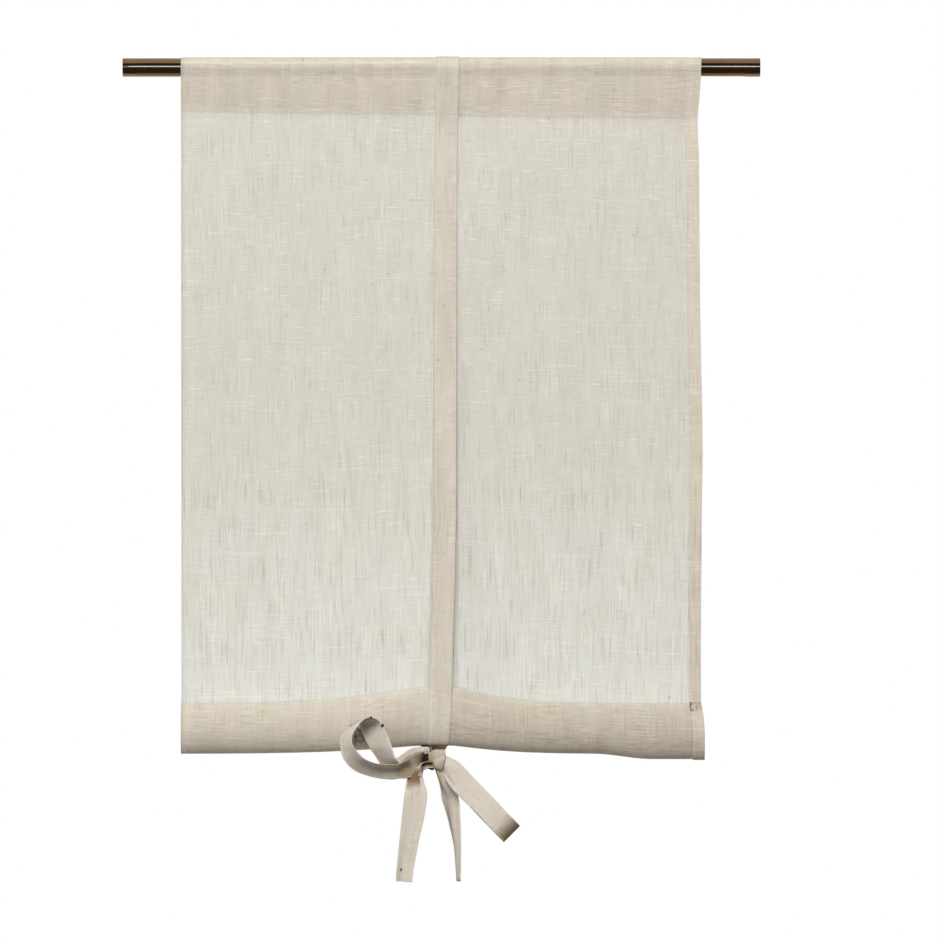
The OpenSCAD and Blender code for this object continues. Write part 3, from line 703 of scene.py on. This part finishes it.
bowShade = {  # painted shade in deep folds, the knot and under other strands: ring, spread in rings, from and to across, skin (0 for both), depth
    "sling": [(66, 11, -0.15, 0.12, -1, 0.10), (0, 4, -2, 2, -1, 0.7)],
    "leftLoop": [(2, 17, -2, 2, -1, 1.0), (42, 19, 0.02, 2, -1, 0.24), (27, 10, -2, 2, -1, 0.5),
                 (88, 16, -2, 2, 1, 0.5), (172, 13, -2, 2, 1, 0.2), (172, 12, -0.16, 0.12, 1, 0.6)],
    "rightLoop": [(62, 16, -2, 2, 0, 0.66), (18, 4, -0.7, -0.45, 0, 0.35)],
    "leftTail": [(6, 12, -2, 2, 0, 0.5), (26, 9, -0.9, 0.6, 0, 0.75)],
    "middleTail": [(4, 13, -2, 2, 0, 0.45)],
    "knotWrap": [(13, 5, -2, 2, 0, 1.0), (30, 20, -2, -0.3, 0, 0.4), (30, 20, -2, 2, 0, 0.32)],
    "knotLobe": [(16, 30, -2, 2, 0, 0.28)],
    "knotCore": [(16, 99, -2, 2, 1, 0.97)],
}
shadeSoft = 0.2  # soft run at the sides of a shaded place, across the tape


def shadeFolds(name, rings):
    n = tapeFacts["ringPoints"]
    s = np.linspace(-1, 1, n)
    s = np.concatenate([s, s[::-1]])
    skin = np.repeat([1, -1], n)
    deep = np.zeros((rings, 2 * n))
    for ring, spread, low, high, side, depth in bowShade[name]:
        along = np.exp(-np.abs((np.arange(rings) - ring) / spread) ** 3)
        across = ease((s - low) / shadeSoft + 0.5) * ease((high - s) / shadeSoft + 0.5)
        if side:
            across = across * (skin == side)
        deep = np.maximum(deep, depth * np.outer(along, across))
    return deep.ravel()


def tieTape(facts, material):
    paths = {"sling": slingPath()}
    for name, rows in bowRows.items():
        path = np.array(rows, float)
        path[:, [0, 1, 2, 6, 7, 8]] *= mm
        path[:, :3] += np.array(facts["knot"])
        paths[name] = smoothPath(path, facts["ringsPerRow"])
    points, faces, uvs, shades, lines, count, run = [], [], [], [], {}, 0, 0.0
    for name, path in paths.items():
        pleats, foldBack = facts["pleats"].get(name, 0), facts["foldBack"].get(name, 0)
        p, f, uv, run, lines[name] = sweepTape(path, run, pleats, foldBack)
        faces += [np.asarray(q) + count for q in f]
        points.append(p)
        uvs.append(uv)
        shades.append(shadeFolds(name, len(path)))
        count += len(p)
    made = meshObject("tieTape", np.concatenate(points), faces, material, np.concatenate(uvs))
    deep = made.data.attributes.new("deepFold", "FLOAT", "POINT")
    deep.data.foreach_set("value", np.concatenate(shades).astype(np.float32))
    faceOutwards(made)
    print("tape tied:", count, "points, length", round(run, 4), "m")
    return made, lines, run


tape, tapeLines, tapeLength = tieTape(tapeFacts, tapeLinen)

# Stitches: short thread pills along the seams
pillFacts = {"uneven": (0.42, 0.55), "segments": 6, "rings": 5}  # half lengths, as shares of the stitch
hemStitchFacts = {
    "pitch": 3.0 * mm, "length": 2.3 * mm, "radius": 0.16 * mm, "seed": 3,
    "insideHem": 1.0 * mm, "hemProud": 0.1 * mm, "rollRows": 50,
    "aboveSeam": 2.5 * mm, "seamSink": 0.1 * mm,
}
tapeStitchFacts = {
    "pitch": 2.6 * mm, "length": 2.1 * mm, "radius": 0.38 * mm, "seed": 7,
    "proud": 1.15,  # of half the tape's thickness
    "slingEdge": -0.8, "bowEdge": -0.86,  # places across, from -1 to 1
    "rightEdge": (0.86, 57, 74),  # a short run at the heading: place, first ring, last ring
}


def stitchTree(facts):
    tree = bpy.data.node_groups.new("seamStitches", "GeometryNodeTree")
    face = tree.interface
    face.new_socket("Seam Lines", in_out="INPUT", socket_type="NodeSocketGeometry")
    keys = {}
    for name, kind in (("Pitch", "Float"), ("Length", "Float"), ("Radius", "Float"), ("Seed", "Int"),
                       ("Thread", "Material")):
        keys[name.lower()] = face.new_socket(name, in_out="INPUT", socket_type="NodeSocket" + kind).identifier
    face.new_socket("Stitches", in_out="OUTPUT", socket_type="NodeSocketGeometry")
    given = addNode(tree, "NodeGroupInput").outputs
    curve = addNode(tree, "GeometryNodeMeshToCurve", {"Mesh": given["Seam Lines"]}).outputs[0]
    spaced = {"Curve": curve, "Length": given["Pitch"]}
    spots = addNode(tree, "GeometryNodeCurveToPoints", spaced, mode="LENGTH").outputs
    turn = addNode(tree, "FunctionNodeAlignRotationToVector", {"Vector": spots["Tangent"]}, axis="Z").outputs[0]
    uneven = addNode(tree, "FunctionNodeRandomValue", data_type="FLOAT")
    floats = [s for s in uneven.inputs if s.enabled]
    floats[0].default_value, floats[1].default_value = facts["uneven"]
    feed(tree, [s for s in floats if s.name == "Seed"][0], given["Seed"])
    long = mathNode(tree, "MULTIPLY", given["Length"], [s for s in uneven.outputs if s.enabled][0])
    size = addNode(tree, "ShaderNodeCombineXYZ", {0: given["Radius"], 1: given["Radius"], 2: long}).outputs[0]
    pill = addNode(tree, "GeometryNodeMeshUVSphere", {
        "Segments": facts["segments"], "Rings": facts["rings"], "Radius": 1.0}).outputs["Mesh"]
    laid = addNode(tree, "GeometryNodeInstanceOnPoints", {
        "Points": spots["Points"], "Instance": pill, "Rotation": turn, "Scale": size}).outputs[0]
    real = addNode(tree, "GeometryNodeRealizeInstances", {0: laid}).outputs[0]
    smooth = addNode(tree, "GeometryNodeSetShadeSmooth", {0: real}).outputs[0]
    covered = addNode(tree, "GeometryNodeSetMaterial", {"Geometry": smooth, "Material": given["Thread"]}).outputs[0]
    addNode(tree, "NodeGroupOutput", {0: covered})
    return tree, keys


stitching, stitchKeys = stitchTree(pillFacts)


def sewAlong(name, paths, facts):
    mesh = bpy.data.meshes.new(name + "Lines")
    points, edges = [], []
    for path in paths:
        edges += [(len(points) + i, len(points) + i + 1) for i in range(len(path) - 1)]
        points += [tuple(p) for p in path]
    mesh.from_pydata(points, edges, [])
    guide = bpy.data.objects.new(name + "Lines", mesh)
    scene.collection.objects.link(guide)
    sewing = guide.modifiers.new("stitches", "NODES")
    sewing.node_group = stitching
    for key in ("pitch", "length", "radius", "seed"):
        sewing[stitchKeys[key]] = facts[key]
    sewing[stitchKeys["thread"]] = thread
    graph = bpy.context.evaluated_depsgraph_get()
    plain = bpy.data.meshes.new_from_object(guide.evaluated_get(graph))
    plain.name = name
    made = bpy.data.objects.new(name, plain)
    bpy.data.objects.remove(guide)
    scene.collection.objects.link(made)
    print(name, len(plain.polygons), "faces")
    return made


def alongPanel(side, facts):  # down the hem's inner edge, side 1 in front, -1 behind
    x = panelFacts["halfWidth"] - panelFacts["hemWidth"] + facts["insideHem"]
    column = int(np.argmin(np.abs(panelX - x)))
    half = panelFacts["layer"] / 2 if side > 0 else panelFacts["hemLayer"] - panelFacts["layer"] / 2
    rows = slice(seamRow + 1, coilRow + facts["rollRows"])
    return panelMiddle[rows, column] + side * panelNormal[rows, column] * (half + facts["hemProud"])


def acrossPanel(side, facts):  # along the pocket's seam
    pocket = panelFacts["pocketRows"]
    first = pocket + panelFacts["overRodRows"] if side > 0 else 0
    line = []
    for i, x in enumerate(panelX):
        z = seamLine(x) + facts["aboveSeam"]
        rows = panelMiddle[first:first + pocket + 1, i]
        rows = rows[np.argsort(rows[:, 2])]
        wide, y = (np.interp(z, rows[:, 2], rows[:, axis]) for axis in (0, 1))
        line.append((wide, y - side * (panelFacts["layer"] / 2 - facts["seamSink"]), z))
    return line


def alongTape(name, place, side, first=0, last=None):
    line = tapeLines[name]
    i = int(round((place + 1) / 2 * (len(line["s"]) - 1)))
    path = line["base"][:, i] + side * line["half"][:, i] * tapeStitchFacts["proud"]
    return path[first:last]


panelSeams = [run(side, hemStitchFacts) for run in (alongPanel, acrossPanel) for side in (1, -1)]
tapeSeams = [alongTape("sling", tapeStitchFacts["slingEdge"], side) for side in (-1, 1)]
edgePlace, firstRing, lastRing = tapeStitchFacts["rightEdge"]
tapeSeams.append(alongTape("sling", edgePlace, -1, firstRing, lastRing))
for sweepName in ("leftLoop", "rightLoop", "leftTail", "middleTail"):
    tapeSeams += [alongTape(sweepName, tapeStitchFacts["bowEdge"], side) for side in (-1, 1)]
clothStitches = sewAlong("clothStitches", panelSeams, hemStitchFacts)
tapeStitches = sewAlong("tapeStitches", tapeSeams, tapeStitchFacts)

# Specks of dirt caught on the tape
speckFacts = {
    "colour": (0.03, 0.02, 0.013), "tone": (0.5, 1.6), "grain": (900, 900, 900), "roughness": 0.95,
    "spots": (("leftLoop", -66.0, -623.0, 1.2), ("leftLoop", -56.0, -632.4, 1.5),
              ("leftTail", -39.4, -769.1, 1.6)),  # sweep, place across, height and half size in mm
    "near": 1.5 * mm, "proud": 0.3 * mm, "flat": 0.5, "uneven": 0.25,
}


def catchSpecks(facts):
    material, tree = newMaterial("dirt")
    place = addNode(tree, "ShaderNodeTexCoord").outputs["Object"]
    body = addNode(tree, "ShaderNodeBsdfPrincipled", {
        "Base Color": mottle(tree, facts["colour"], grain(tree, place, facts["grain"]), *facts["tone"]),
        "Roughness": facts["roughness"]})
    showSurface(tree, body.outputs[0])
    points, faces = [], []
    for sweep, x, z, half in facts["spots"]:
        base = tapeLines[sweep]["base"].reshape(-1, 3)
        off = np.hypot(base[:, 0] - x * mm, base[:, 2] - z * mm)
        close = base[off < off.min() + facts["near"]]
        spot = close[np.argmin(close[:, 1])]  # the nearest to the front
        lump = bmesh.new()
        bmesh.ops.create_icosphere(lump, subdivisions=2, radius=1.0)
        first = len(points)
        for v in lump.verts:
            uneven = 1 + facts["uneven"] * math.sin(5 * v.co.x + 3 * v.co.z + x)
            shape = np.array((v.co.x * uneven, v.co.y * facts["flat"], v.co.z * uneven))
            points.append(spot + shape * half * mm - (0, facts["proud"], 0))
        faces += [[first + v.index for v in f.verts] for f in lump.faces]
        lump.free()
    made = meshObject("tapeSpecks", points, faces, material)
    faceOutwards(made)
    return made


specks = catchSpecks(speckFacts)
print("specks caught")

# The rod: a thin metal tube with softened rims
rodFacts = {
    "radius": 9 * mm, "bore": 8 * mm, "half": 306 * mm, "soft": 0.3 * mm,
    "segments": 96, "rows": 24, "boreRows": 12, "boreRim": 2 * mm,
    "metal": (0.198, 0.113, 0.052), "tone": (0.86, 1.1), "clouds": (35, 60, 60), "cloudShift": (1, 2, 3),
    "drawLines": (6, 900, 900), "roughness": (0.06, 0.10),  # drawing lines run along the tube
    "coat": 0.2, "coatRoughness": 0.06, "bump": 0.06, "bumpDepth": 0.05 * mm,
}


def rodMetal(facts):
    made, tree = newMaterial("agedBronze")
    place = addNode(tree, "ShaderNodeTexCoord").outputs["Object"]
    drawn = grain(tree, place, facts["drawLines"], 3.0)
    clouds = grain(tree, place, facts["clouds"], 3.0, facts["cloudShift"])
    bump = addNode(tree, "ShaderNodeBump", {
        "Strength": facts["bump"], "Distance": facts["bumpDepth"], "Height": drawn}).outputs[0]
    body = addNode(tree, "ShaderNodeBsdfPrincipled", {
        "Base Color": mottle(tree, facts["metal"], clouds, *facts["tone"]), "Metallic": 1.0, "Normal": bump,
        "Roughness": ramp(tree, drawn, 0.3, 0.7, *facts["roughness"]),
        "Coat Weight": facts["coat"], "Coat Roughness": facts["coatRoughness"]})
    showSurface(tree, body.outputs[0])
    return made


def turnRod(facts):
    r, b, h, s = facts["radius"], facts["bore"], facts["half"], facts["soft"]
    around, rim = facts["segments"], facts["boreRim"]
    profile = [(x, r) for x in np.linspace(-h + s, h - s, facts["rows"])]
    profile += [(h - 0.3 * s, r - 0.3 * s), (h, r - s), (h, b + 0.2 * s), (h - 0.2 * s, b)]
    profile += [(x, b) for x in np.linspace(h - rim, -h + rim, facts["boreRows"])]
    profile += [(-h + 0.2 * s, b), (-h, b + 0.2 * s), (-h, r - s), (-h + 0.3 * s, r - 0.3 * s)]
    turns = np.linspace(0, 2 * math.pi, around, endpoint=False)
    points = [(x, q * math.sin(a), q * math.cos(a)) for x, q in profile for a in turns]
    at = np.arange(len(profile) * around).reshape(len(profile), around)
    nxt, up = np.roll(at, -1, axis=1), np.roll(at, -1, axis=0)
    faces = np.stack([at.ravel(), nxt.ravel(), np.roll(nxt, -1, axis=0).ravel(), up.ravel()], axis=1)
    made = meshObject("curtainRod", points, faces, rodMetal(facts))
    faceOutwards(made)
    return made


rod = turnRod(rodFacts)
print("rod turned")

# Studio: pale floor, soft lamps, and a strip and cards that only reflections see
studio = {
    "floorZ": -1.3, "floorRadius": 0.56, "floorSides": 64,
    "floorColour": (0.74, 0.70, 0.64), "floorTone": (0.97, 1.0), "floorGrain": (5, 5, 5), "floorRoughness": 0.9,
    "ambient": 0.10,
    "lamps": {
        "keyLamp": {"place": (-0.3, -5.0, 3.35), "aim": (0, 0, -0.35), "size": (3.0, 3.0), "power": 488,
                    "colour": (1.0, 0.993, 0.98), "glossy": False},
        "fillLamp": {"place": (0.3, -4.4, 0.97), "aim": (0.3, 0, 0), "size": (4.5, 0.40), "power": 108,
                     "colour": (0.185, 0.43, 1.0), "diffuse": False},  # the bright line on the rod
        "sideLamp": {"place": (-3.6, -1.9, -0.2), "aim": (0, 0, -0.6), "size": (1.5, 1.5), "power": 33,
                     "glossy": False},
        "backLamp": {"place": (0.1, 1.4, -0.75), "aim": (0, 0, -0.62), "size": (0.6, 0.6), "power": 2.5},
        "rearLamp": {"place": (0.9, 4.2, 0.3), "aim": (0, 0, -0.4), "size": (3, 3), "power": 68,
                     "glossy": False},  # lights the back
    },
    "cards": {  # from and to in degrees over the rod's level, distance in front, brightness
        "upperCard": (19, 54, 1.6, 0.08),
        "lowerCard": (-87.5, -1, 0.25, 0.085),
    },
    "cardHalf": 2.0,
}


def layFloor(facts):
    made, tree = newMaterial("paleFloor")
    place = addNode(tree, "ShaderNodeTexCoord").outputs["Object"]
    clouds = grain(tree, place, facts["floorGrain"], 3.0)
    body = addNode(tree, "ShaderNodeBsdfPrincipled", {
        "Base Color": mottle(tree, facts["floorColour"], clouds, *facts["floorTone"]),
        "Roughness": facts["floorRoughness"]})
    showSurface(tree, body.outputs[0])
    sides, r, z = facts["floorSides"], facts["floorRadius"], facts["floorZ"]
    turns = np.linspace(0, 2 * math.pi, sides, endpoint=False)
    ring = [(r * math.cos(a), r * math.sin(a), z) for a in turns]
    floor = meshObject("studioFloor", ring, [range(sides)], made, smooth=False)


def hangLamp(name, facts):
    data = bpy.data.lights.new(name, "AREA")
    data.shape = "RECTANGLE"
    data.size, data.size_y = facts["size"]
    data.energy = facts["power"]
    data.color = facts.get("colour", (1, 1, 1))
    lamp = bpy.data.objects.new(name, data)
    lamp.visible_glossy = facts.get("glossy", True)
    lamp.visible_diffuse = facts.get("diffuse", True)
    lamp.location = facts["place"]
    aim = Vector(facts["aim"]) - Vector(facts["place"])
    lamp.rotation_euler = aim.to_track_quat("-Z", "Y").to_euler()
    scene.collection.objects.link(lamp)


def hangCard(name, half, lowAngle, highAngle, away, shade):
    made, tree = newMaterial(name)
    showSurface(tree, addNode(tree, "ShaderNodeEmission", {"Strength": shade}).outputs[0])
    low, high = (away * math.tan(math.radians(a)) for a in (lowAngle, highAngle))
    corners = [(-half, -away, low), (half, -away, low), (half, -away, high), (-half, -away, high)]
    card = meshObject(name, corners, [(0, 1, 2, 3)], made, smooth=False)
    for seen in ("camera", "diffuse", "transmission", "shadow", "volume_scatter"):
        setattr(card, "visible_" + seen, False)


def openWorld(facts):
    world = bpy.data.worlds.new("whiteStudio")
    scene.world = world
    world.use_nodes = True
    tree = world.node_tree
    tree.nodes.clear()
    path = addNode(tree, "ShaderNodeLightPath").outputs
    mirrored = mathNode(tree, "MAXIMUM", path["Is Glossy Ray"], path["Is Transmission Ray"])
    seen = mathNode(tree, "MAXIMUM", path["Is Camera Ray"], mirrored)
    shades = []
    for strength in (facts["ambient"], 1.0):  # what lights the cloth, and the white that is seen
        shade = addNode(tree, "ShaderNodeBackground", {"Color": (1, 1, 1, 1), "Strength": strength})
        shades.append(shade.outputs[0])
    addNode(tree, "ShaderNodeOutputWorld", {"Surface": mixShader(tree, seen, *shades)})


layFloor(studio)
for lampName, lampFacts in studio["lamps"].items():
    hangLamp(lampName, lampFacts)
for cardName, cardFacts in studio["cards"].items():
    hangCard(cardName, studio["cardHalf"], *cardFacts)
openWorld(studio)
print("studio lit")

# Which piece stands for which solid
for piece, node, slotName in ((panel, "linen_panel", "linen"), (tape, "tie_tape", "tape"),
                              (rod, "curtain_rod", "rod")):
    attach(piece, "root")
    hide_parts(node)
for piece, slotName in ((clothStitches, "linen"), (tapeStitches, "tape"), (specks, "tape")):
    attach(piece, "root")
